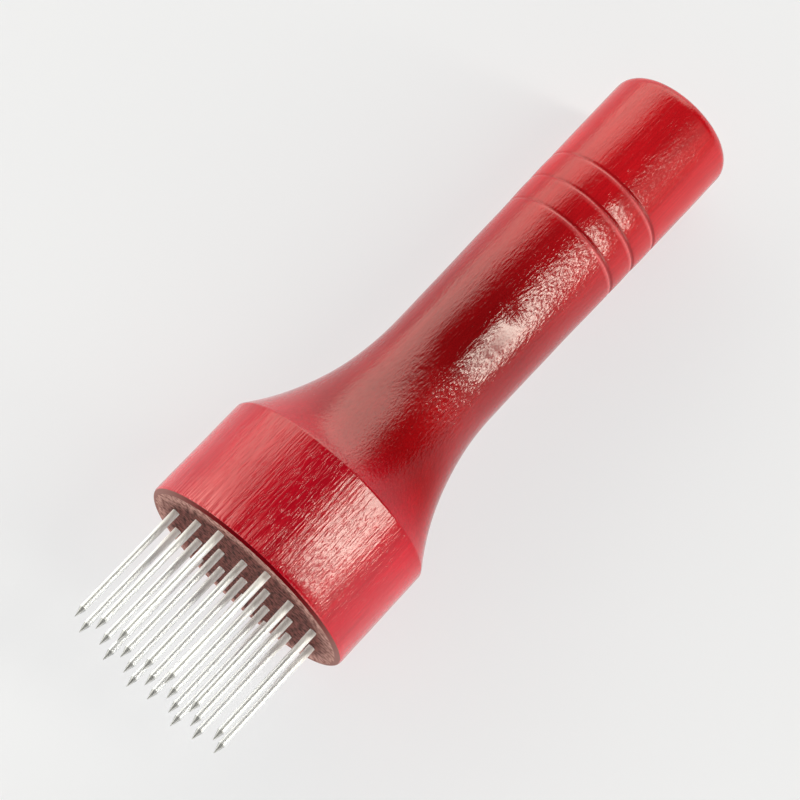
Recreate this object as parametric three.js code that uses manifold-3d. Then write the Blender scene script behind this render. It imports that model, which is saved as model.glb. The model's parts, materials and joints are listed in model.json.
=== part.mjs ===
// A needle meat tenderizer: a turned wooden handle whose broad head carries a bed of steel needles.
// Millimetres, +Z up. The tool lies on its side, as it is put down on a table: the shoulder of the
// head and the rim of the butt touch the surface, so the axis slopes down towards the butt.
// The needles point towards -X and the butt towards +X.

import * as THREE from "three";
import { mergeVertices, toCreasedNormals } from "three/addons/utils/BufferGeometryUtils.js";
import Module from "manifold-3d";

// Turned handle, along its axis from the needle face to the butt
const HANDLE_LENGTH = 137;
const HEAD_DIAMETER = 50;
const HEAD_LENGTH = 24.5; // from the needle face to the shoulder
const FLARE_LENGTH = 35.5; // from the shoulder to the slimmest part of the neck
const NECK_DIAMETER = 27.8;
const BUTT_DIAMETER = 29.2;
const FACE_ROUND = 1.2;
const SHOULDER_ROUND = 1;
const BUTT_ROUND = 3;

// Turned rings on the grip
const RING_COUNT = 3;
const RING_PITCH = 6.95;
const RING_WIDTH = 1.2;
const RING_DEPTH = 0.45;
const RINGS_TO_BUTT = 25.7; // from the last ring to the end of the butt

// Needles, and the blind holes that they are driven into
const NEEDLE_DIAMETER = 1.6;
const NEEDLE_EXPOSED = 28.5;
const NEEDLE_BURIED = 16;
const NEEDLE_POINT = 2.4; // length of the pencil point
const NEEDLE_CHAMFER = 0.2; // on the buried end
const NEEDLE_TO_EDGE = 6; // from the axes of the outermost needles to the side of the head
const GRID_COUNT = 5; // needles along each side of the square grid, whose four corners stay empty
const GRID_TURN = THREE.MathUtils.degToRad(45); // from the sides of the grid to the table
const GLUE_GAP = 0.1; // round a needle in its hole
const SEAT_GAP = 0.3; // under a needle's buried end
const DRILL_POINT_ANGLE = THREE.MathUtils.degToRad(118);

// Facets of the round surfaces
const HANDLE_SIDES = 48;
const NEEDLE_SIDES = 12;
const ROUND_STEPS = 4;
const BUTT_STEPS = 6;
const FLARE_STEPS = 14;
const GRIP_STEPS = 5;
const BUTT_END_STEPS = 3;
const RING_STEPS = 4;
const CREASE_ANGLE = THREE.MathUtils.degToRad(20);

const headRadius = HEAD_DIAMETER / 2;
const neckRadius = NECK_DIAMETER / 2;
const buttRadius = BUTT_DIAMETER / 2;
const needleRadius = NEEDLE_DIAMETER / 2;
const neckAt = HEAD_LENGTH + FLARE_LENGTH;
const lastRingAt = HANDLE_LENGTH - RINGS_TO_BUTT;
const firstRingAt = lastRingAt - (RING_COUNT - 1) * RING_PITCH;

const lacqueredWood = new THREE.MeshStandardMaterial({ color: 0xb0121f, roughness: 0.3, metalness: 0 });
const polishedSteel = new THREE.MeshStandardMaterial({ color: 0xd9d9d6, roughness: 0.15, metalness: 1 });

const wasm = await Module();
wasm.setup();

// A closed geometry as a solid that can be cut.
function toSolid(geometry) {
  const bare = geometry.clone();
  bare.deleteAttribute("normal");
  bare.deleteAttribute("uv");
  const merged = mergeVertices(bare);
  const mesh = new wasm.Mesh({
    numProp: 3,
    vertProperties: merged.getAttribute("position").array,
    triVerts: new Uint32Array(merged.index.array),
  });
  return new wasm.Manifold(mesh);
}

// A cut solid as a geometry again, shaded smooth up to the crease angle.
function toGeometry(solid) {
  const { vertProperties, triVerts } = solid.getMesh();
  const geometry = new THREE.BufferGeometry();
  geometry.setAttribute("position", new THREE.BufferAttribute(vertProperties, 3));
  geometry.setIndex(new THREE.BufferAttribute(triVerts, 1));
  return toCreasedNormals(geometry, CREASE_ANGLE);
}

// A turned solid about +Y. It starts half a facet round, so that flats and not edges face +Z and -Z.
function turn(profile, sides) {
  return new THREE.LatheGeometry(profile, sides, Math.PI / sides);
}

// Points on a circular arc of a profile, whose x is the radius and whose y is the way along the axis.
function arc(centre, radius, fromAngle, toAngle, steps) {
  const clockwise = toAngle < fromAngle;
  const curve = new THREE.EllipseCurve(centre.x, centre.y, radius, radius, fromAngle, toAngle, clockwise);
  return curve.getPoints(steps);
}

// The shoulder: a small round, tangent to the side of the head, that runs on into the concave flare.
// The flare is one arc, tangent to the neck, aimed at the corner where the head would end without the round.
function shoulderAndFlare() {
  const drop = headRadius - neckRadius;
  const flareRadius = (FLARE_LENGTH ** 2 + drop ** 2) / (2 * drop);
  const flareCentre = new THREE.Vector2(neckRadius + flareRadius, neckAt);
  const roundX = headRadius - SHOULDER_ROUND;
  const reach = flareRadius + SHOULDER_ROUND;
  const roundToNeck = Math.sqrt(reach ** 2 - (flareCentre.x - roundX) ** 2);
  const roundCentre = new THREE.Vector2(roundX, neckAt - roundToNeck);
  const turnAngle = flareCentre.clone().sub(roundCentre).angle();
  return {
    roundCentre,
    points: [
      ...arc(roundCentre, SHOULDER_ROUND, 0, turnAngle, ROUND_STEPS),
      ...arc(flareCentre, flareRadius, Math.PI + turnAngle, Math.PI, FLARE_STEPS).slice(1),
    ],
  };
}

// The grip swells in an S-curve from the neck to where the butt's round starts.
function gripRadiusAt(at) {
  const share = THREE.MathUtils.smoothstep(at, neckAt, HANDLE_LENGTH - BUTT_ROUND);
  return THREE.MathUtils.lerp(neckRadius, buttRadius, share);
}

// Points along the grip between two places, without the places themselves.
function gripPoints(from, to, steps) {
  return Array.from({ length: steps - 1 }, (_, index) => {
    const at = THREE.MathUtils.lerp(from, to, (index + 1) / steps);
    return new THREE.Vector2(gripRadiusAt(at), at);
  });
}

// One turned ring: a shallow groove of circular section.
function ringPoints(index) {
  const at = firstRingAt + index * RING_PITCH;
  const cutterRadius = (RING_WIDTH ** 2 / 4 + RING_DEPTH ** 2) / (2 * RING_DEPTH);
  const cutterCentre = new THREE.Vector2(gripRadiusAt(at) - RING_DEPTH + cutterRadius, at);
  const halfAngle = Math.asin(RING_WIDTH / 2 / cutterRadius);
  return arc(cutterCentre, cutterRadius, Math.PI + halfAngle, Math.PI - halfAngle, RING_STEPS);
}

const shoulder = shoulderAndFlare();
const buttCentre = new THREE.Vector2(buttRadius - BUTT_ROUND, HANDLE_LENGTH - BUTT_ROUND);
const faceCentre = new THREE.Vector2(headRadius - FACE_ROUND, FACE_ROUND);
const handleProfile = [
  new THREE.Vector2(0, 0),
  ...arc(faceCentre, FACE_ROUND, -Math.PI / 2, 0, ROUND_STEPS),
  ...shoulder.points,
  ...gripPoints(neckAt, firstRingAt - RING_WIDTH / 2, GRIP_STEPS),
  ...Array.from({ length: RING_COUNT }, (_, index) => ringPoints(index)).flat(),
  ...gripPoints(lastRingAt + RING_WIDTH / 2, buttCentre.y, BUTT_END_STEPS),
  ...arc(buttCentre, BUTT_ROUND, 0, Math.PI / 2, BUTT_STEPS),
  new THREE.Vector2(0, HANDLE_LENGTH),
];

// Needle places on the face: a square grid without its corners, turned so that its diagonals lie across
// and upright. The needles next to the corners are the outermost, so they set the pitch.
function needlePlaces() {
  const reach = (GRID_COUNT - 1) / 2;
  const pitch = (headRadius - NEEDLE_TO_EDGE) / Math.hypot(reach, reach - 1);
  const middle = new THREE.Vector2();
  const places = [];
  for (let row = -reach; row <= reach; row++) {
    for (let column = -reach; column <= reach; column++) {
      if (Math.abs(row) === reach && Math.abs(column) === reach) continue;
      const place = new THREE.Vector2(column, row).multiplyScalar(pitch);
      places.push(place.rotateAround(middle, GRID_TURN));
    }
  }
  return places;
}

// A blind hole, drilled from just outside the face and ending in the cone of the drill's point.
function drilledHole() {
  const holeRadius = needleRadius + GLUE_GAP;
  const depth = NEEDLE_BURIED + SEAT_GAP;
  const cone = holeRadius / Math.tan(DRILL_POINT_ANGLE / 2);
  const profile = [
    new THREE.Vector2(0, -holeRadius),
    new THREE.Vector2(holeRadius, -holeRadius),
    new THREE.Vector2(holeRadius, depth),
    new THREE.Vector2(0, depth + cone),
  ];
  return turn(profile, NEEDLE_SIDES);
}

function needleGeometry() {
  const profile = [
    new THREE.Vector2(0, -NEEDLE_EXPOSED),
    new THREE.Vector2(needleRadius, NEEDLE_POINT - NEEDLE_EXPOSED),
    new THREE.Vector2(needleRadius, NEEDLE_BURIED - NEEDLE_CHAMFER),
    new THREE.Vector2(needleRadius - NEEDLE_CHAMFER, NEEDLE_BURIED),
    new THREE.Vector2(0, NEEDLE_BURIED),
  ];
  return turn(profile, NEEDLE_SIDES);
}

const places = needlePlaces();
const hole = toSolid(drilledHole());
const drilled = places.reduce(
  (wood, place) => wood.subtract(hole.translate([place.x, 0, place.y])),
  toSolid(turn(handleProfile, HANDLE_SIDES)),
);

const handle = new THREE.Mesh(toGeometry(drilled), lacqueredWood);
handle.name = "handle";

// The tool stands along +Y in this group, with its needle face at y = 0.
const tool = new THREE.Group();
tool.add(handle);
places.forEach((place, index) => {
  const needle = new THREE.Mesh(needleGeometry(), polishedSteel);
  needle.name = "needle_" + String(index + 1).padStart(2, "0");
  needle.position.set(place.x, 0, place.y);
  tool.add(needle);
});

// Laid down, the tool rests on the common tangent of the shoulder's round and the butt's round.
const span = buttCentre.clone().sub(shoulder.roundCentre);
const restTilt = Math.atan2(-span.x, span.y) + Math.asin((SHOULDER_ROUND - BUTT_ROUND) / span.length());
tool.rotation.z = -Math.PI / 2;
const lying = new THREE.Group();
lying.rotation.y = restTilt;
lying.add(tool);

// The origin is under the middle of the tool, on the surface that it lies on.
const box = new THREE.Box3().setFromObject(lying, true);
lying.position.set(-(box.min.x + box.max.x) / 2, 0, -box.min.z);

const tenderizer = new THREE.Group();
tenderizer.add(lying);

export default tenderizer;
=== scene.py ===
# %% [markdown]
# # A needle meat tenderizer
# The tool is one turned wooden handle, stained red and lacquered, with a bed of steel needles glued into
# the flat face of its head. It lies on a pale table, resting on the shoulder of the head and on the butt.
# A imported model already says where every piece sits. This lesson dresses it: it makes smooth surfaces
# for the faceted pieces, gives each its finish, and adds light and a camera. Lengths are in metres.

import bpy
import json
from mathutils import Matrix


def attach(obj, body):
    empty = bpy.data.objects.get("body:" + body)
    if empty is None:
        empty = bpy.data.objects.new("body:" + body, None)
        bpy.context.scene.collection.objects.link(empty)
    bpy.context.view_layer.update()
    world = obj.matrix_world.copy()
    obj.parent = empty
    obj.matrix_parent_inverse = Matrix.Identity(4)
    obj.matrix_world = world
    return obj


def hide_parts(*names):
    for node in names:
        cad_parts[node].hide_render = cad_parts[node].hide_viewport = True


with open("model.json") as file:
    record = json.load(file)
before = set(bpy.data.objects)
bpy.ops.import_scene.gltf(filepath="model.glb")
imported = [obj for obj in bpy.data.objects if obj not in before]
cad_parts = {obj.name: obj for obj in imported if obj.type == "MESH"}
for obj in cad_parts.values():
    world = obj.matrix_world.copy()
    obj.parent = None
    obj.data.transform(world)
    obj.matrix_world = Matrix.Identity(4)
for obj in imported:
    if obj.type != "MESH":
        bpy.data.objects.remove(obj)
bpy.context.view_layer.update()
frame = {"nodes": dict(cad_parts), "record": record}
print("pieces in the frame:", len(frame["nodes"]))

# %% Libraries
import json
import math

import bpy
import numpy as np
from mathutils import Vector

MM = 0.001
scene = bpy.context.scene
scene.view_settings.view_transform = "Standard"

# %% [markdown]
# ## The tool's own axes
# The tool lies tilted, so shapes and patterns are easier to describe in axes of its own: along the handle
# from the needle face to the butt, across the table, and upright. Objects could be modelled straight and
# turned afterwards, but here every mesh holds its final place, so the turn is done in numbers. The frame's
# record has a mount on the butt, with its centre and direction, and that fixes all three axes.

# %% Axes from the mount on the butt
HANDLE_LENGTH = 137 * MM

butt_mount = next(m for m in frame["record"]["mounts"] if m["name"] == "butt_end")
along = np.array(butt_mount["axis"])
along = along / np.linalg.norm(along)
across = np.array([0.0, 1.0, 0.0])
upright = np.cross(along, across)
tool_axes = np.stack([along, across, upright])
face_centre = np.array(butt_mount["pos_m"]) - HANDLE_LENGTH * along
tilt = math.atan2(-along[2], along[0])


def to_tool(points):
    """Row frame to tool axes: distances of each point from the face centre along the three axes."""
    return (points - face_centre) @ tool_axes.T


def to_row(points):
    """Tool axes to row frame: the face centre plus each distance times its axis."""
    return face_centre + points @ tool_axes


print("tilt of the handle in degrees:", round(math.degrees(tilt), 2))

# %% [markdown]
# ## Camera
# The photograph was taken from nearly overhead, a little from the needle side, with the tool running
# from the lower left to the upper right. A camera could be placed by its location and rotation, but angles
# round an aim point on the table are easier to read, and it is how a photographer would describe it.

# %% Camera
CAMERA_AIM = Vector((0.395, 6.555, 0.0)) * MM
CAMERA_DISTANCE = 493.3 * MM
CAMERA_AZIMUTH = math.radians(-48.78)
CAMERA_ELEVATION = math.radians(73.53)
CAMERA_LENS_MM = 103.76
NEAREST_SEEN = 10 * MM

back = Vector((
    math.sin(CAMERA_AZIMUTH) * math.cos(CAMERA_ELEVATION),
    -math.cos(CAMERA_AZIMUTH) * math.cos(CAMERA_ELEVATION),
    math.sin(CAMERA_ELEVATION),
))
camera = bpy.data.objects.new("camera", bpy.data.cameras.new("camera"))
camera.data.lens = CAMERA_LENS_MM
camera.data.clip_start = NEAREST_SEEN
camera.location = CAMERA_AIM + back * CAMERA_DISTANCE
camera.rotation_euler = back.to_track_quat("Z", "Y").to_euler()
scene.collection.objects.link(camera)
scene.camera = camera
print("camera at, in mm:", [round(c / MM, 1) for c in camera.location])

# %% [markdown]
# ## Colours and nodes
# Colours are picked on a screen, as sRGB hex values, but a renderer adds up light, so it wants
# linear numbers. One function does that step. Another adds a shader node, sets its values and links it,
# so that each finish below reads as a list of what feeds what. Settings that come back often have a name.

# %% Two helpers for finishes
MIX_A, MIX_B, MIX_RESULT = 6, 7, 2  # colour sockets of a Mix node
COLOURS = {"data_type": "RGBA"}
SMOOTH = {"interpolation_type": "SMOOTHSTEP"}
MULTIPLY = {"operation": "MULTIPLY"}
MULTIPLY_ADD = {"operation": "MULTIPLY_ADD"}
LARGEST = {"operation": "MAXIMUM"}


def colour(hex_value):
    """sRGB to linear: the low part is a straight line, the rest a power of 2.4. Alpha is 1."""
    srgb = np.array([int(hex_value[i:i + 2], 16) for i in (1, 3, 5)]) / 255
    linear = np.where(srgb <= 0.04045, srgb / 12.92, ((srgb + 0.055) / 1.055) ** 2.4)
    return (*linear.tolist(), 1.0)


def add_node(tree, kind, settings, inputs):
    """Adds one node. Settings are its properties. An input gets a link if its value is a socket."""
    node = tree.nodes.new("ShaderNode" + kind)
    for name, value in settings.items():
        setattr(node, name, value)
    for name, value in inputs.items():
        if isinstance(value, bpy.types.NodeSocket):
            tree.links.new(value, node.inputs[name])
        else:
            node.inputs[name].default_value = value
    return node


print("a mid grey in linear light:", [round(c, 3) for c in colour("#808080")])

# %% [markdown]
# ## Light
# A shiny handle is a mirror of its studio. In the photograph it shows a pale wall on one side, a bright
# window in a dimmer niche on the other, and a dark ceiling in between, where the stain looks deepest. More
# walls stand beyond the needles, and a low one beside the window. Nearly all light comes from the sides, so
# the flanks of the handle are brighter than its top. Lamps could do this, but lamps nearby light a table
# unevenly. So the world draws the walls and the window as soft-edged patches, infinitely far away, and a
# patch is a range of longitude and latitude about a pole. The walls stand about the vertical. The window and
# its niche lie about the axis of the handle, because their reflection ends in straight lines along and
# round it.

# %% A patch of light
world = bpy.data.worlds.new("studio")
world.use_nodes = True
scene.world = world
sky = world.node_tree
direction = add_node(sky, "TexCoord", {}, {}).outputs["Generated"]


def soft_patch(pole, zero, longitudes, latitudes, edges, strength):
    """Strength within a range of longitude and latitude about a pole, fading to 0 over two soft edges.
    Longitude is the atan2 of a direction's shares of two axes square to the pole, counted from the middle
    of the range, and latitude is the arcsine of its share of the pole. All angles are in degrees."""
    middle = math.radians(sum(longitudes) / 2)
    half_width = (longitudes[1] - longitudes[0]) / 2
    ahead = math.cos(middle) * np.array(zero) + math.sin(middle) * np.cross(pole, zero)
    shares = [
        add_node(sky, "VectorMath", {"operation": "DOT_PRODUCT"}, {
            0: direction, 1: tuple(axis)}).outputs["Value"]
        for axis in (ahead, np.cross(pole, ahead), pole)
    ]
    longitude = add_node(sky, "Math", {"operation": "ARCTAN2"}, {0: shares[1], 1: shares[0]}).outputs[0]
    latitude = add_node(sky, "Math", {"operation": "ARCSINE"}, {0: shares[2]}).outputs[0]
    limits = (
        (longitude, half_width, 1, edges[0]),
        (longitude, -half_width, -1, edges[0]),
        (latitude, latitudes[1], 1, edges[1]),
        (latitude, latitudes[0], -1, edges[1]),
    )
    for angle, limit, outward, edge in limits:
        fade = add_node(sky, "MapRange", SMOOTH, {
            "Value": angle,
            "From Min": math.radians(limit - outward * edge / 2),
            "From Max": math.radians(limit + outward * edge / 2),
            "To Min": 1.0,
            "To Max": 0.0,
        })
        strength = add_node(sky, "Math", MULTIPLY, {0: fade.outputs[0], 1: strength}).outputs[0]
    return strength


print("world:", world.name)

# %% The studio
LIGHT_COLOUR = colour("#FFFBEC")
CEILING_STRENGTH = 0.03
VERTICAL = (0.0, 0.0, 1.0)
EAST = (1.0, 0.0, 0.0)

patches = {
    "pale wall": soft_patch(
        VERTICAL, EAST, longitudes=(-3, 110), latitudes=(-40, 43), edges=(16, 22), strength=2.7),
    "far walls": soft_patch(
        VERTICAL, EAST, longitudes=(112, 250), latitudes=(-40, 26), edges=(12, 8), strength=3.6),
    "low wall": soft_patch(
        VERTICAL, EAST, longitudes=(250, 285), latitudes=(-40, 18), edges=(8, 8), strength=1.2),
    "window": soft_patch(
        along, upright, longitudes=(26, 76), latitudes=(13, 20.3), edges=(4, 4), strength=15.5),
    "window niche": soft_patch(
        along, upright, longitudes=(36, 86), latitudes=(8, 36), edges=(24, 20), strength=0.7),
}
light = CEILING_STRENGTH
for patch in patches.values():
    light = add_node(sky, "Math", LARGEST, {0: patch, 1: light}).outputs[0]
sky.nodes["Background"].inputs["Color"].default_value = LIGHT_COLOUR
sky.links.new(light, sky.nodes["Background"].inputs["Strength"])
print("patches of light:", ", ".join(patches))

# %% [markdown]
# ## Table
# A plain pale table, wide enough to fill the picture from any side. A photographer lights a white table until
# the shadow nearly drowns, but that much light would also bleach the tool. So the table as it is seen, by the
# camera or in a reflection, is mostly its own even colour and only partly the light that falls on it. It
# keeps a faint shadow that way.

# %% Table
TABLE_HALF = 12.0
TABLE_DROP = 0.07 * MM  # the ripple of the sanded wood reaches this low

corners = np.array([(-1, -1, 0), (1, -1, 0), (1, 1, 0), (-1, 1, 0)]) * TABLE_HALF - [0, 0, TABLE_DROP]
table_mesh = bpy.data.meshes.new("table")
table_mesh.from_pydata(corners.tolist(), [], [(0, 1, 2, 3)])
table = bpy.data.objects.new("table", table_mesh)
scene.collection.objects.link(table)
print("table:", 2 * TABLE_HALF, "m wide")

# %% Table paint
EVEN_SHARE = 0.65

# Matt white paint: an even pale ground without any gloss, on which only a faint shadow shows.
table_paint = bpy.data.materials.new("matt white table")
table_paint.use_nodes = True
tree = table_paint.node_tree
paint = tree.nodes["Principled BSDF"]
paint.inputs["Base Color"].default_value = colour("#EFF1F8")
paint.inputs["Roughness"].default_value = 0.9
paint.inputs["Specular IOR Level"].default_value = 0.0
rays = add_node(tree, "LightPath", {}, {}).outputs
seen = add_node(tree, "Math", LARGEST, {0: rays["Is Camera Ray"], 1: rays["Is Glossy Ray"]}).outputs[0]
seen = add_node(tree, "Math", LARGEST, {0: rays["Is Transmission Ray"], 1: seen}).outputs[0]
even = add_node(tree, "Math", MULTIPLY, {0: seen, 1: EVEN_SHARE}).outputs[0]
glow = add_node(tree, "Emission", {}, {"Color": colour("#F2F3F5"), "Strength": 1.0}).outputs[0]
shown = add_node(tree, "MixShader", {}, {0: even, 1: paint.outputs[0], 2: glow}).outputs[0]
tree.links.new(shown, tree.nodes["Material Output"].inputs["Surface"])
table_paint.cycles.emission_sampling = "NONE"
table_mesh.materials.append(table_paint)
print("paint:", table_paint.name)

# %% [markdown]
# ## Turned shapes
# Handle and needles are all turned about an axis. Blender's Screw modifier could turn a line of points, but
# it can't ripple the surface as it goes. So one function makes them all: a profile of (along, radius) points
# is carried round a circle, which gives a grid of rings and sides, and a point on the axis closes each end.
# The whole grid is one array, with no loop over its points.

# %% Turned surfaces


def turned(profile, sides, centre=(0.0, 0.0), ripple=None):
    """Point (i, j) lies at along[i] and at radius[i] times (cos, sin) of the angle 2 pi j / sides, from
    a centre given in across and upright. A ripple adds to the radius. The first and last points of the
    profile are poles on the axis."""
    angle = np.linspace(0, 2 * np.pi, sides, endpoint=False)
    place, angle = np.meshgrid(profile[1:-1, 0], angle, indexing="ij")
    radius = profile[1:-1, 1:] + (ripple(place, angle) if ripple else 0)
    grid = np.stack([place, centre[0] + radius * np.cos(angle), centre[1] + radius * np.sin(angle)], -1)
    poles = np.array([(profile[i, 0], *centre) for i in (0, -1)])
    index = np.arange(place.size).reshape(place.shape)
    ahead = np.roll(index, -1, axis=1)
    quads = np.stack([index[:-1], ahead[:-1], ahead[1:], index[1:]], -1).reshape(-1, 4)
    first = np.stack([np.full(sides, place.size), ahead[0], index[0]], -1)
    last = np.stack([np.full(sides, place.size + 1), index[-1], ahead[-1]], -1)
    return to_row(np.concatenate([grid.reshape(-1, 3), poles])), [quads, first, last]


def new_piece(name, surfaces):
    """An object at the origin whose mesh joins the surfaces. The indices of each surface are shifted past
    the points of those before it."""
    grids = [grid for grid, _ in surfaces]
    shifts = np.cumsum([0] + [len(grid) for grid in grids])
    shifted = [group + shift for (_, groups), shift in zip(surfaces, shifts) for group in groups]
    faces = [face for group in shifted for face in group.tolist()]
    mesh = bpy.data.meshes.new(name)
    mesh.from_pydata(np.concatenate(grids).tolist(), [], faces)
    piece = bpy.data.objects.new(name, mesh)
    scene.collection.objects.link(piece)
    return piece


def arc(centre, radius, start, end, steps):
    """Points on a circle: the centre plus the radius times (cos, sin) of evenly spaced angles in degrees."""
    angle = np.radians(np.linspace(start, end, steps + 1))
    return np.array(centre) + radius * np.stack([np.cos(angle), np.sin(angle)], -1)


print("a quarter arc in 2 steps:", arc((0, 0), 1, 0, 90, 2).round(3).tolist())

# %% [markdown]
# ## Handle: the profile
# A turner works to a profile: a drum-shaped head with a small round at the needle face, a crisp shoulder,
# a concave flare down to the neck, a grip that swells a little, three fine rings and a rounded butt. It
# could be one smooth curve through a few points, but then the shoulder would not be crisp. Arcs give it its
# true radius, and where they meet in a tangent they keep the highlights unbroken. Between two rings the
# wood swells a little.

# %% Head, shoulder and flare
HEAD_RADIUS = 25.0 * MM
FACE_ROUND = 1.2 * MM
SHOULDER_ROUND = 1.0 * MM
HEAD_LENGTH = 24.5 * MM
FLARE_LENGTH = 35.5 * MM
NECK_RADIUS = 13.9 * MM
GUARD = 0.1 * MM  # a ring this near to each flat keeps the flat's shading flat
HEAD_POINTS = 14
ROUND_STEPS = 8
FLARE_STEPS = 40

face_flat = HEAD_RADIUS - FACE_ROUND
neck_at = HEAD_LENGTH + FLARE_LENGTH
drop = HEAD_RADIUS - NECK_RADIUS
flare_radius = (FLARE_LENGTH ** 2 + drop ** 2) / (2 * drop)
flare_centre = (neck_at, NECK_RADIUS + flare_radius)
round_rise = flare_centre[1] - (HEAD_RADIUS - SHOULDER_ROUND)
round_run = math.sqrt((flare_radius + SHOULDER_ROUND) ** 2 - round_rise ** 2)
round_centre = (neck_at - round_run, HEAD_RADIUS - SHOULDER_ROUND)
meeting = math.degrees(math.atan2(round_rise, round_run))
head_profile = np.concatenate([
    [(0, 0), (0, face_flat - GUARD)],
    arc((FACE_ROUND, face_flat), FACE_ROUND, 180, 90, ROUND_STEPS),
    np.linspace((FACE_ROUND, HEAD_RADIUS), (round_centre[0], HEAD_RADIUS), HEAD_POINTS)[1:-1],
    arc(round_centre, SHOULDER_ROUND, 90, meeting, ROUND_STEPS),
    arc(flare_centre, flare_radius, 180 + meeting, 270, FLARE_STEPS)[1:],
])
print("flare radius in mm:", round(flare_radius / MM, 1))

# %% Grip and rings
BUTT_RADIUS = 14.6 * MM
BUTT_ROUND = 3.0 * MM
RING_PLACES = np.array([97.4, 104.35, 111.3]) * MM
RING_HALF_WIDTH = 0.6 * MM
RING_DEPTH = 0.3 * MM
BEAD_HEIGHT = 0.06 * MM  # how far the wood swells between two rings


def ring_groove(place):
    """1 at the middle of a ring, falling as half a cosine wave to 0 at its edges."""
    distance = np.abs(place[..., None] - RING_PLACES).min(axis=-1)
    return 0.5 + 0.5 * np.cos(np.pi * np.minimum(distance / RING_HALF_WIDTH, 1))


def grip_radius(place):
    """An S-curve from neck to butt, plus a bead between each two rings, less a groove at each ring."""
    share = np.clip((place - neck_at) / (HANDLE_LENGTH - BUTT_ROUND - neck_at), 0, 1)
    radius = NECK_RADIUS + (BUTT_RADIUS - NECK_RADIUS) * share ** 2 * (3 - 2 * share)
    pitch = RING_PLACES[1] - RING_PLACES[0]
    banded = (place > RING_PLACES[0]) & (place < RING_PLACES[-1])
    radius = radius + BEAD_HEIGHT * banded * np.sin(np.pi * (place - RING_PLACES[0]) / pitch) ** 2
    return radius - RING_DEPTH * ring_groove(place)


print("grip at the first ring in mm:", round(float(grip_radius(RING_PLACES)[0] / MM), 2))

# %% The whole profile
GRIP_POINTS = 75
RING_POINTS = 21
RING_REACH = 1.1  # how far a ring's points reach, in half widths
BUTT_STEPS = 12

coarse = np.linspace(neck_at, HANDLE_LENGTH - BUTT_ROUND, GRIP_POINTS)[1:-1]
over_ring = np.linspace(-RING_REACH, RING_REACH, RING_POINTS) * RING_HALF_WIDTH
grip_places = np.union1d(coarse, (RING_PLACES[:, None] + over_ring).ravel())
butt_flat = BUTT_RADIUS - BUTT_ROUND
handle_profile = np.concatenate([
    head_profile,
    np.stack([grip_places, grip_radius(grip_places)], -1),
    arc((HANDLE_LENGTH - BUTT_ROUND, butt_flat), BUTT_ROUND, 90, 0, BUTT_STEPS),
    [(HANDLE_LENGTH, butt_flat - GUARD), (HANDLE_LENGTH, 0)],
])
print("points of the handle's profile:", len(handle_profile))

# %% [markdown]
# ## Needles: where they stand
# The needles could be set out again as a grid, but each needle node of the frame already gives its own place:
# the middle of its points, in the tool's axes. The same places then serve for the drilled holes, so holes and
# needles can't drift apart.

# %% Needle places
needle_names = sorted(name for name in frame["nodes"] if name.startswith("needle"))


def mesh_points(mesh):
    """All points of a mesh, as one array in the tool's axes."""
    flat = np.empty(3 * len(mesh.vertices), np.float32)
    mesh.vertices.foreach_get("co", flat)
    return to_tool(flat.reshape(-1, 3).astype(float))


needle_spans = {name: mesh_points(frame["nodes"][name].data) for name in needle_names}
needle_places = {name: (p.min(axis=0) + p.max(axis=0))[1:] / 2 for name, p in needle_spans.items()}
tips = min(p[:, 0].min() for p in needle_spans.values())
print(len(needle_places), "needles, standing out of the face by", round(-tips / MM, 2), "mm")

# %% [markdown]
# ## Handle: the mesh
# The profile is turned in many sides. Hand sanding never leaves a perfect circle, so the surface gets a
# ripple of a few hundredths of a millimetre, and lacquer has run into the rings and partly fills them, most
# on one flank. Both could be bump in the finish, but bump leaves the outline smooth, and these are wide
# enough for a mesh to carry. Then one cutter with all the drill holes is taken away, and the result is kept
# as a plain mesh.

# %% Uneven surface
RIPPLE = 0.03 * MM
RIPPLE_FADE = 3.0 * MM  # the way over which the ripple dies out at both ends
SLOW_WAVES = 3  # round the handle
SLOW_LENGTH = 4.1 * MM  # along the handle, for one radian of the wave
QUICK_WAVES = 5
QUICK_LENGTH = 2.7 * MM
QUICK_SHIFT = 1.0  # radians, so that the two waves don't start together
RING_FILL = 0.2 * MM  # most that lacquer fills a ring, on the flank that lay lowest as it dried
FILLED_ANGLE = math.radians(20)  # from across towards upright


def sanding_ripple(place, angle):
    """Sum of two slow waves that run along and around the handle, faded out towards both ends."""
    to_end = np.minimum(place - 2 * FACE_ROUND, HANDLE_LENGTH - BUTT_ROUND - place)
    slow = np.sin(SLOW_WAVES * angle + place / SLOW_LENGTH)
    quick = np.sin(QUICK_WAVES * angle - place / QUICK_LENGTH + QUICK_SHIFT)
    return RIPPLE / 2 * np.clip(to_end / RIPPLE_FADE, 0, 1) * (slow + quick)


def uneven(place, angle):
    """The ripple, plus the fill of the rings: most at the filled angle, falling as a squared half cosine."""
    filled = np.cos((angle - FILLED_ANGLE) / 2) ** 2
    return sanding_ripple(place, angle) + RING_FILL * filled * ring_groove(place)


print("ripple either way in mm:", RIPPLE / MM, "and most fill of a ring:", RING_FILL / MM)

# %% Turned and drilled
HANDLE_SIDES = 192
HOLE_SIDES = 24
HOLE_RADIUS = 0.9 * MM
HOLE_DEPTH = 16.3 * MM
HOLE_POINT = 0.54 * MM  # depth of the cone that the drill leaves
HANDLE_SHARP = math.radians(40)  # edges that turn by more stay sharp

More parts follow.
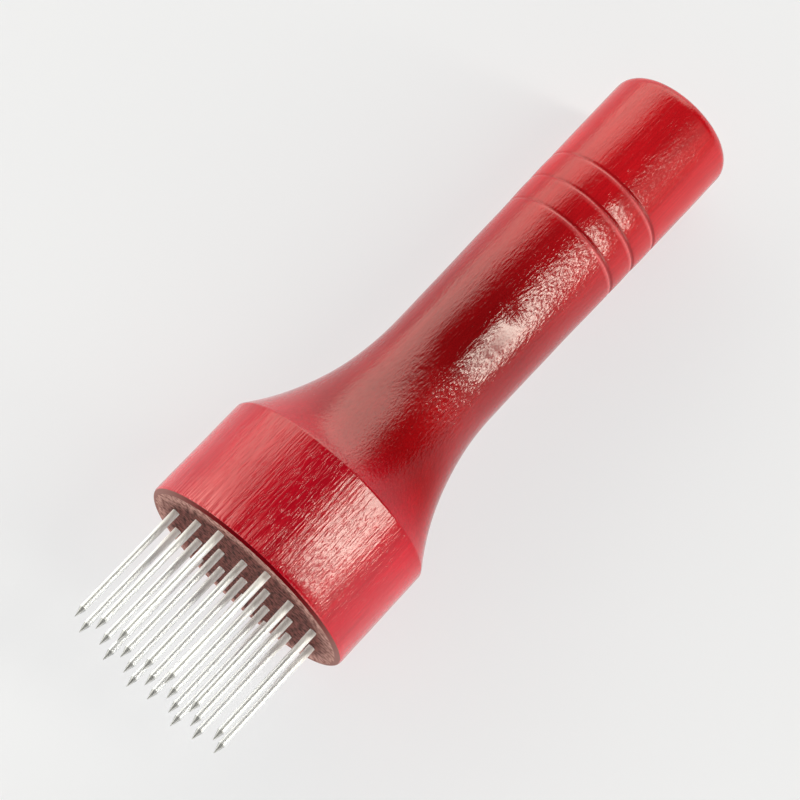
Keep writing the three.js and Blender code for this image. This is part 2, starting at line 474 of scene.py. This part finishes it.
handle = new_piece("handle_wood", [turned(handle_profile, HANDLE_SIDES, ripple=uneven)])
hole_profile = np.array([
    (-HOLE_RADIUS, 0),
    (-HOLE_RADIUS, HOLE_RADIUS),
    (HOLE_DEPTH, HOLE_RADIUS),
    (HOLE_DEPTH + HOLE_POINT, 0),
])
drill = new_piece("drill", [turned(hole_profile, HOLE_SIDES, place) for place in needle_places.values()])
drilling = handle.modifiers.new("drilling", "BOOLEAN")
drilling.object = drill
whole = handle.evaluated_get(bpy.context.evaluated_depsgraph_get())
handle.data = bpy.data.meshes.new_from_object(whole)
handle.modifiers.clear()
bpy.data.objects.remove(drill)
handle.data.name = "handle_wood"
handle.data.shade_smooth()
handle.data.set_sharp_from_angle(angle=HANDLE_SHARP)
print("handle:", len(handle.data.polygons), "faces")

# %% [markdown]
# ## Handle: what varies from place to place
# No pattern that repeats can say where this one handle is scuffed or where its lacquer ran. That could be
# painted on by hand, but a formula can be read and changed: each mark is a bell-shaped spot or band, placed
# by millimetres from the needle face and by the angle from the top. It becomes one number for each point of
# the mesh, stored as an attribute, which a finish reads by its name.

# %% Places on the handle
points = mesh_points(handle.data)
station = points[:, 0]
from_top = np.arctan2(points[:, 1], points[:, 2])


def along_handle(levels):
    """Levels given at places in mm from the face, joined by straight lines and even past both ends."""
    return np.interp(station, np.array(list(levels)) * MM, list(levels.values()))


def bell(distance, width):
    """1 at distance 0, falling on both sides: e to the power of minus (distance over width) squared."""
    return np.exp(-(distance / width) ** 2)


def spot(centre, size):
    """1 at a centre, falling all round: e to the power of minus the summed squares of distance over size."""
    return np.exp(-(((points - centre) / size) ** 2).sum(axis=1))


def write_attribute(name, values):
    """Stores one number for each point of the handle, and prints the range of the numbers."""
    attribute = handle.data.attributes.new(name, "FLOAT", "POINT")
    attribute.data.foreach_set("value", values.astype(np.float32))
    print(name, "from", round(float(values.min()), 3), "to", round(float(values.max()), 3))


print("points of the handle:", len(points))

# %% [markdown]
# ## Handle: raised grain and open pores
# The wood is a pale, close-grained hardwood such as beech. Wet stain has raised its grain, and the lacquer
# is so thin that it follows: long fibres on the head, hardly anything on the flare, and open pores from
# there on. On the flanks the fibres lie flatter. The foot of the flare is rough, as if the turner's tool had
# torn the grain there. On the neck a run of lacquer has filled everything up, and it ends in a wrinkle.
# This could all be modelled, but such fine relief would take millions of faces. So only its height is
# stored here, and the finish draws it as bump.

# %% Height of the fibres
FIBRE_HEIGHTS = {21: 0.13, 27: 0.03, 56: 0.03, 61: 0.02, 84: 0.03}  # mm, at mm from the face
FLANK_ANGLE = math.radians(45)
FLANK_FLATTER = 0.75  # share of the height that is missing far from the top
RUN_CENTRE = np.array([69.5, -6.9, 12.1]) * MM
RUN_SIZE = np.array([6.0, 2.4, 2.4]) * MM
RUN_OVER_FIBRES = 0.9  # share of the fibres' height that the run hides

raised = 1 - FLANK_FLATTER * (1 - bell(from_top, FLANK_ANGLE))
run = spot(RUN_CENTRE, RUN_SIZE)
write_attribute("fibre_height", along_handle(FIBRE_HEIGHTS) * raised * (1 - RUN_OVER_FIBRES * run))

# %% Depth of the pores
PORE_DEPTHS = {21: 0.05, 27: 0.03, 43: 0.1, 50: 0.12, 56: 0.1, 61: 0.06, 84: 0.13, 104: 0.07}  # mm
RUN_OVER_PORES = 0.95
WRINKLE_CENTRE = np.array([74.3, -5.0, 13.0]) * MM
WRINKLE_SIZE = np.array([1.5, 2.4, 1.5]) * MM
WRINKLE_DEPTH = 0.4  # mm
ROUGH_CENTRE = np.array([50.5, -7.8, 12.8]) * MM
ROUGH_SIZE = np.array([6.5, 5.0, 5.0]) * MM
ROUGH_DEPTH = 0.22  # mm

rough_patch = spot(ROUGH_CENTRE, ROUGH_SIZE)
pore_depth = along_handle(PORE_DEPTHS) * (1 - RUN_OVER_PORES * run)
pore_depth = pore_depth + WRINKLE_DEPTH * spot(WRINKLE_CENTRE, WRINKLE_SIZE) + ROUGH_DEPTH * rough_patch
write_attribute("pore_depth", pore_depth)

# %% [markdown]
# ## Handle: painted shade and light, uneven stain and lacquer
# The top is painted darker than the flanks, most at the neck: painted shade, for the flanks get more light
# than the top. The rough patch has lost stain and is paler. Near the needle face, the highest fibres on the
# upper flank are painted paler, as painted glints. Lacquer is thin in the hollow of the flare, where the
# spray didn't reach, and on the grip, where hands have worn it. In each ring, a pale line is painted on the
# side towards the head, as a painted highlight, and a dark line on the side towards the butt, as painted
# shade in the groove, both more on the flank towards the window. A material for each of these would end in
# hard borders, so they are shares that fade, and one material mixes by them.

# %% Painted top shade, rough patch and painted glints
TOP_SHADE_SHARES = {
    21: 0.26, 27: 0.24, 43: 0.22, 50: 0.28, 56: 0.33, 61: 0.37, 84: 0.24, 104: 0.16, 116: 0.03, 137: 0.0}
TOP_SHADE_ANGLE = math.radians(-9)
TOP_SHADE_HALF_ANGLE = math.radians(30)
ROUGH_PALER = 0.45
GLINT_LENGTH = 4.5 * MM
GLINT_ANGLE = math.radians(18)
GLINT_HALF_ANGLE = math.radians(30)

# Painted shade on the top, most at the neck, because the flanks get more light than the top.
painted_top_shade = along_handle(TOP_SHADE_SHARES) * bell(from_top - TOP_SHADE_ANGLE, TOP_SHADE_HALF_ANGLE)
write_attribute("paleness_and_painted_shade", 1 - painted_top_shade + ROUGH_PALER * rough_patch)
# Painted glints: paler streaks near the needle face, on the upper flank.
write_attribute("glints_near_face", bell(station, GLINT_LENGTH) * bell(from_top - GLINT_ANGLE, GLINT_HALF_ANGLE))

# %% Thin lacquer
LACQUER_SHARES = {61: 1.0, 84: 0.94, 104: 0.78, 116: 0.84, 137: 0.87}
THIN_AT = 34 * MM
THIN_LENGTH = 12 * MM
THIN_ANGLE = math.radians(-52)
THIN_HALF_ANGLE = math.radians(28)
THIN_SHARE = 0.75  # share of the lacquer that is missing in the hollow

hollow = bell(station - THIN_AT, THIN_LENGTH) * bell(from_top - THIN_ANGLE, THIN_HALF_ANGLE)
write_attribute("lacquer", along_handle(LACQUER_SHARES) - THIN_SHARE * hollow)

# %% Painted highlight and shade in the rings
RING_HIGHLIGHT_AT = -0.5 * MM  # from the middle of a ring
RING_SHADE_AT = 0.25 * MM
RING_LINE = 0.32 * MM
WINDOW_FLANK_SLOPE = 0.8  # how fast both lines grow from one flank to the other
RING_SHADE_LEAST = 0.2
RING_SHADE_MORE = 0.6  # what the flank towards the window adds

nearest_ring = RING_PLACES[np.abs(station[:, None] - RING_PLACES).argmin(axis=1)]
from_ring = station - nearest_ring
window_flank = np.clip(0.5 - WINDOW_FLANK_SLOPE * points[:, 1] / BUTT_RADIUS, 0, 1)
ring_shade_share = RING_SHADE_LEAST + RING_SHADE_MORE * window_flank
# Painted highlight: a pale line on the side of each ring towards the head. Painted shade: a dark line in the
# groove on the side towards the butt.
write_attribute("ring_painted_highlight", window_flank * bell(from_ring - RING_HIGHLIGHT_AT, RING_LINE))
write_attribute("ring_painted_shade", ring_shade_share * bell(from_ring - RING_SHADE_AT, RING_LINE))

# %% [markdown]
# ## Handle: red stain under lacquer
# Lacquer and wood refract light alike, so the only shiny surface is the lacquer's own. It is the coat of
# the shader, and the wood below it has no gloss. The grain could be an image, but noise stretched along the
# fibres has no seams and no end. The relief hardly shows where the reflection is even, but it breaks the
# edges of the window's reflection up into streaks and dashes. Everything is drawn in the tool's axes, so
# that the grain runs along it.

# %% Grain patterns
FIBRE_SIZE = Vector((11.0, 0.42, 0.42)) * MM  # length and width of one bundle of fibres
PORE_SIZE = Vector((1.4, 0.5, 0.5)) * MM  # beech pores are under 0.1 mm wide: drawn wider, to show at all
PIT_SIZE = Vector((3.0, 0.32, 0.32)) * MM  # the largest pores among the fibres, drawn wider too
BAND_SIZE = Vector((50.0, 7.0, 7.0)) * MM  # early and late wood


def tool_coordinates(tree):
    """Object coordinates moved and turned into the tool's axes: x along, y across, z upright."""
    where = add_node(tree, "TexCoord", {}, {}).outputs["Object"]
    origin = -(tool_axes @ face_centre)
    return add_node(tree, "Mapping", {}, {
        "Vector": where, "Location": origin.tolist(), "Rotation": (0, -tilt, 0)}).outputs[0]


def one_over(size):
    """The Mapping scale that makes one unit of a pattern as large as size."""
    return [1 / s for s in size]


# Stained beech under clear lacquer: a deep red that lies below sharp, broken reflections.
lacquered_wood = bpy.data.materials.new("red stained lacquered beech")
lacquered_wood.use_nodes = True
tree = lacquered_wood.node_tree
where = tool_coordinates(tree)
patterns = {}
for name, size, detail in (
        ("fibre", FIBRE_SIZE, 2), ("pore", PORE_SIZE, 2), ("pit", PIT_SIZE, 0), ("band", BAND_SIZE, 2)):
    scaled = add_node(tree, "Mapping", {}, {"Vector": where, "Scale": one_over(size)}).outputs[0]
    noise = add_node(tree, "TexNoise", {}, {"Vector": scaled, "Scale": 1.0, "Detail": detail})
    patterns[name] = noise.outputs[0]
print("wood patterns:", list(patterns))

# %% What varies, read back
varying = {}
for name in ("fibre_height", "pore_depth", "paleness_and_painted_shade", "glints_near_face", "lacquer", "ring_painted_highlight", "ring_painted_shade"):
    varying[name] = add_node(tree, "Attribute", {"attribute_name": name}, {}).outputs["Fac"]
print("attributes read:", len(varying))

# %% Colours of the stain
HEAD_RED = colour("#C80D26")
NECK_RED = colour("#9E0810")
BUTT_RED = colour("#C81520")
# Painted shade for the rings, and a painted highlight for the rings and the glints near the face.
RING_SHADE_RED = colour("#860A12")
PAINTED_HIGHLIGHT_RED = colour("#E4686E")
INTO_NECK = {"From Min": 20 * MM, "From Max": 37 * MM}  # where the stain gets deeper
OUT_OF_NECK = {"From Min": 66 * MM, "From Max": 118 * MM}  # where it gets paler again
GLINT_FIBRES = {"From Min": 0.45, "From Max": 0.6}  # the fibres that stand highest

from_face = add_node(tree, "SeparateXYZ", {}, {"Vector": where}).outputs["X"]
into_neck = add_node(tree, "MapRange", SMOOTH, {"Value": from_face, **INTO_NECK}).outputs[0]
out_of_neck = add_node(tree, "MapRange", SMOOTH, {"Value": from_face, **OUT_OF_NECK}).outputs[0]
# Painted glints: near the face, the highest fibres on the upper flank are mixed towards a paler red.
painted_glints = add_node(tree, "MapRange", SMOOTH, {"Value": patterns["fibre"], **GLINT_FIBRES}).outputs[0]
painted_glints = add_node(tree, "Math", MULTIPLY, {0: painted_glints, 1: varying["glints_near_face"]}).outputs[0]
red = HEAD_RED
for amount, towards in (
        (into_neck, NECK_RED), (out_of_neck, BUTT_RED), (varying["ring_painted_shade"], RING_SHADE_RED),
        (varying["ring_painted_highlight"], PAINTED_HIGHLIGHT_RED), (painted_glints, PAINTED_HIGHLIGHT_RED)):
    red = add_node(tree, "Mix", COLOURS, {0: amount, MIX_A: red, MIX_B: towards}).outputs[MIX_RESULT]
print("stain colours mixed")

# %% Lighter and darker wood
BAND_SHADES = {"From Min": 0.3, "From Max": 0.7, "To Min": 0.85, "To Max": 1.1}
FIBRE_SHADES = {"From Min": 0.35, "From Max": 0.65, "To Min": 0.88, "To Max": 1.05}

band_shade = add_node(tree, "MapRange", {}, {"Value": patterns["band"], **BAND_SHADES}).outputs[0]
fibre_shade = add_node(tree, "MapRange", {}, {"Value": patterns["fibre"], **FIBRE_SHADES}).outputs[0]
shade = add_node(tree, "Math", MULTIPLY, {0: band_shade, 1: fibre_shade}).outputs[0]
shade = add_node(tree, "Math", MULTIPLY, {0: shade, 1: varying["paleness_and_painted_shade"]}).outputs[0]
red = add_node(tree, "VectorMath", {"operation": "SCALE"}, {0: red, "Scale": shade}).outputs[0]
print("shade of the bands:", BAND_SHADES["To Min"], "to", BAND_SHADES["To Max"])

# %% Relief and gloss
PIT_SHARE = 0.35  # depth of a pit, as a share of the fibres' height
OPEN_PITS = {"From Min": 0.56, "From Max": 0.68}  # the part of the pattern that is a pit

pits = add_node(tree, "MapRange", SMOOTH, {"Value": patterns["pit"], **OPEN_PITS}).outputs[0]
grain = add_node(tree, "Math", MULTIPLY_ADD, {0: pits, 1: -PIT_SHARE, 2: patterns["fibre"]}).outputs[0]
grain = add_node(tree, "Math", MULTIPLY, {0: grain, 1: varying["fibre_height"]}).outputs[0]
relief = add_node(tree, "Math", MULTIPLY_ADD, {
    0: patterns["pore"], 1: varying["pore_depth"], 2: grain}).outputs[0]
bump = add_node(tree, "Bump", {}, {"Height": relief, "Distance": MM}).outputs[0]
lacquer = tree.nodes["Principled BSDF"]
tree.links.new(red, lacquer.inputs["Base Color"])
tree.links.new(bump, lacquer.inputs["Normal"])
tree.links.new(bump, lacquer.inputs["Coat Normal"])
tree.links.new(varying["lacquer"], lacquer.inputs["Coat Weight"])
lacquer.inputs["Roughness"].default_value = 0.6
lacquer.inputs["Specular IOR Level"].default_value = 0.0
lacquer.inputs["Coat Roughness"].default_value = 0.12
lacquer.inputs["Coat IOR"].default_value = 1.55
print("lacquer over", lacquered_wood.name)

# %% [markdown]
# ## Handle: the bare needle face
# The face has no lacquer. It shows matt brown end grain with short marks, as a saw leaves them. It is
# painted darker among the needles, as painted shade, and paler near the rim, as painted light. The rounded
# edge has no lacquer either. It is painted dark red on top, as painted shade, and towards both sides the
# line is bare brown wood. All this could be a separate disc, but on the real tool it is one piece of wood,
# so the faces of one mesh get three finishes.

# %% Bare end grain
SAW_MARK_SIZE = Vector((2.0, 1.1, 1.0)) * MM  # depth, width and height of the marks that the saw left
SAW_MARK_DEPTH = 0.06 * MM
MARKED = {"From Min": 0.4, "From Max": 0.62}  # from clean wood to the dark of a mark
RIM_PAINTED_LIGHT = {"From Min": 19 * MM, "From Max": 23.5 * MM}  # from the axis
INNER_PALE_SHADED = colour("#70403C")
INNER_DARK_SHADED = colour("#280A08")
RIM_PALE_LIT = colour("#B08A85")
RIM_DARK_LIT = colour("#704440")

# Sawn end grain without any finish: a dull brown, broken up by dark marks.
end_grain = bpy.data.materials.new("bare sawn end grain")
end_grain.use_nodes = True
tree = end_grain.node_tree
where = tool_coordinates(tree)
scaled = add_node(tree, "Mapping", {}, {"Vector": where, "Scale": one_over(SAW_MARK_SIZE)}).outputs[0]
marks = add_node(tree, "TexNoise", {}, {"Vector": scaled, "Scale": 1.0, "Detail": 3.0}).outputs[0]
marked = add_node(tree, "MapRange", {}, {"Value": marks, **MARKED}).outputs[0]
flattened = add_node(tree, "VectorMath", MULTIPLY, {0: where, 1: (0, 1, 1)}).outputs[0]
from_axis = add_node(tree, "VectorMath", {"operation": "LENGTH"}, {0: flattened}).outputs["Value"]
# Painted shade among the needles and painted light towards the rim.
rim = add_node(tree, "MapRange", SMOOTH, {"Value": from_axis, **RIM_PAINTED_LIGHT}).outputs[0]
pale = add_node(tree, "Mix", COLOURS, {0: rim, MIX_A: INNER_PALE_SHADED, MIX_B: RIM_PALE_LIT}).outputs[MIX_RESULT]
dark = add_node(tree, "Mix", COLOURS, {0: rim, MIX_A: INNER_DARK_SHADED, MIX_B: RIM_DARK_LIT}).outputs[MIX_RESULT]
brown = add_node(tree, "Mix", COLOURS, {0: marked, MIX_A: pale, MIX_B: dark}).outputs[MIX_RESULT]
bump = add_node(tree, "Bump", {}, {"Height": marks, "Distance": SAW_MARK_DEPTH}).outputs[0]
bare = tree.nodes["Principled BSDF"]
tree.links.new(brown, bare.inputs["Base Color"])
tree.links.new(bump, bare.inputs["Normal"])
bare.inputs["Roughness"].default_value = 0.75
bare.inputs["Specular IOR Level"].default_value = 0.15
print("face:", end_grain.name)

# %% Stained edge
EDGE_RED = colour("#6E0511")
EDGE_DEEP = colour("#460309")
EDGE_BARE = colour("#8C6A69")
EDGE_SHADE_ANGLE = math.radians(-10)
EDGE_SHADE_HALF_ANGLE = math.radians(56)
FLAT_TOP = 4  # a higher power than a bell's 2 keeps the line even and ends it faster

# Painted shade: the line is dark on top and fades to bare brown at both sides.
write_attribute("edge_top_shade", np.exp(-((from_top - EDGE_SHADE_ANGLE) / EDGE_SHADE_HALF_ANGLE) ** FLAT_TOP))

# Stain without lacquer: a matt line, painted dark red on top as painted shade, and brown at both sides.
stained_edge = bpy.data.materials.new("stained edge without lacquer")
stained_edge.use_nodes = True
tree = stained_edge.node_tree
where = tool_coordinates(tree)
scaled = add_node(tree, "Mapping", {}, {"Vector": where, "Scale": one_over(PORE_SIZE)}).outputs[0]
spots = add_node(tree, "TexNoise", {}, {"Vector": scaled, "Scale": 1.0, "Detail": 2.0}).outputs[0]
edge_top_shade = add_node(tree, "Attribute", {"attribute_name": "edge_top_shade"}, {}).outputs["Fac"]
deep = add_node(tree, "Mix", COLOURS, {0: spots, MIX_A: EDGE_RED, MIX_B: EDGE_DEEP}).outputs[MIX_RESULT]
line = add_node(tree, "Mix", COLOURS, {0: edge_top_shade, MIX_A: EDGE_BARE, MIX_B: deep}).outputs[MIX_RESULT]
edge = tree.nodes["Principled BSDF"]
tree.links.new(line, edge.inputs["Base Color"])
edge.inputs["Roughness"].default_value = 0.55
edge.inputs["Specular IOR Level"].default_value = 0.0
print("edge:", stained_edge.name)

# %% Which faces are bare
EDGE_DEPTH = 0.5 * MM  # how far the line at the edge reaches along the axis

centres = np.empty(3 * len(handle.data.polygons), np.float32)
handle.data.polygons.foreach_get("center", centres)
centres = to_tool(centres.reshape(-1, 3).astype(float))
radius = np.hypot(centres[:, 1], centres[:, 2])
is_bare = (centres[:, 0] < HEAD_LENGTH) & (radius < face_flat - GUARD / 2)
is_edge = (centres[:, 0] < EDGE_DEPTH) & ~is_bare
for finish in (lacquered_wood, end_grain, stained_edge):
    handle.data.materials.append(finish)
handle.data.polygons.foreach_set("material_index", (is_bare + 2 * is_edge).astype(np.int32))
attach(handle, "root")
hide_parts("handle")
print("faces of bare wood:", int(is_bare.sum()), "and of the edge:", int(is_edge.sum()))

# %% [markdown]
# ## Needles: satin wire with ground points
# Each needle is a length of hard steel wire with a satin plating, ground to a pencil point. A satin surface
# scatters much of the light, so the wire looks nearly white with thin dark lines, and the ground point
# looks greyer. The roots are painted whiter and matt, as painted light where the head shades them. Root,
# wire and point could be three pieces, but they are one surface whose finish changes along it.

# %% Needle steel
POINT_LENGTH = 2.4 * MM
POINT_EDGE = 0.2 * MM  # the way over which grinding runs out
ROOT_LIGHT_LENGTH = 9.0 * MM  # how far from the face the roots are painted lighter
WIRE_ROUGHNESS = 0.38
POINT_ROUGHNESS = 0.34
ROOT_LIGHT_ROUGHER = 0.12
WIRE_METAL = 0.55  # the plating scatters the rest of the light
WIRE_GREY = colour("#EEF1F6")
POINT_GREY = colour("#BABCC0")
ROOT_LIGHT_WHITE = colour("#FBFCFF")

# Satin plated wire: soft white streaks with thin dark lines between them.
needle_steel = bpy.data.materials.new("satin plated steel wire with ground point")
needle_steel.use_nodes = True
tree = needle_steel.node_tree
where = tool_coordinates(tree)
from_face = add_node(tree, "SeparateXYZ", {}, {"Vector": where}).outputs["X"]
ground = add_node(tree, "MapRange", {}, {
    "Value": from_face,
    "From Min": tips + POINT_LENGTH,
    "From Max": tips + POINT_LENGTH - POINT_EDGE,
}).outputs[0]
# Painted light: towards the face the roots turn whiter and matt, where the head shades them.
root_light = add_node(tree, "MapRange", SMOOTH, {
    "Value": from_face, "From Min": -ROOT_LIGHT_LENGTH, "From Max": 0.0}).outputs[0]
grey = add_node(tree, "Mix", COLOURS, {0: ground, MIX_A: WIRE_GREY, MIX_B: POINT_GREY}).outputs[MIX_RESULT]
grey = add_node(tree, "Mix", COLOURS, {0: root_light, MIX_A: grey, MIX_B: ROOT_LIGHT_WHITE}).outputs[MIX_RESULT]
roughness = add_node(tree, "MapRange", {}, {
    "Value": ground, "To Min": WIRE_ROUGHNESS, "To Max": POINT_ROUGHNESS}).outputs[0]
roughness = add_node(tree, "Math", MULTIPLY_ADD, {0: root_light, 1: ROOT_LIGHT_ROUGHER, 2: roughness}).outputs[0]
metal = add_node(tree, "MapRange", {}, {"Value": root_light, "To Min": WIRE_METAL, "To Max": 0.0}).outputs[0]
steel = tree.nodes["Principled BSDF"]
tree.links.new(grey, steel.inputs["Base Color"])
tree.links.new(roughness, steel.inputs["Roughness"])
tree.links.new(metal, steel.inputs["Metallic"])
print("steel:", needle_steel.name)

# %% Needle meshes
NEEDLE_SIDES = 32
NEEDLE_RADIUS = 0.8 * MM
NEEDLE_BURIED = 16.0 * MM
END_CHAMFER = 0.2 * MM
TIP_RADIUS = 0.08 * MM  # no ground point is perfectly sharp
NEEDLE_SHARP = math.radians(25)

needle_profile = np.array([
    (tips, 0),
    (tips + TIP_RADIUS / 4, TIP_RADIUS / 2),
    (tips + TIP_RADIUS, TIP_RADIUS),
    (tips + POINT_LENGTH, NEEDLE_RADIUS),
    (tips + POINT_LENGTH + GUARD, NEEDLE_RADIUS),
    (NEEDLE_BURIED - END_CHAMFER, NEEDLE_RADIUS),
    (NEEDLE_BURIED, NEEDLE_RADIUS - END_CHAMFER),
    (NEEDLE_BURIED, 0),
])
for name, centre in needle_places.items():
    needle = new_piece("steel_" + name, [turned(needle_profile, NEEDLE_SIDES, centre)])
    needle.data.shade_smooth()
    needle.data.set_sharp_from_angle(angle=NEEDLE_SHARP)
    needle.data.materials.append(needle_steel)
    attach(needle, "root")
    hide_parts(name)
print("needles:", len(needle_places), "of", len(needle.data.polygons), "faces each")
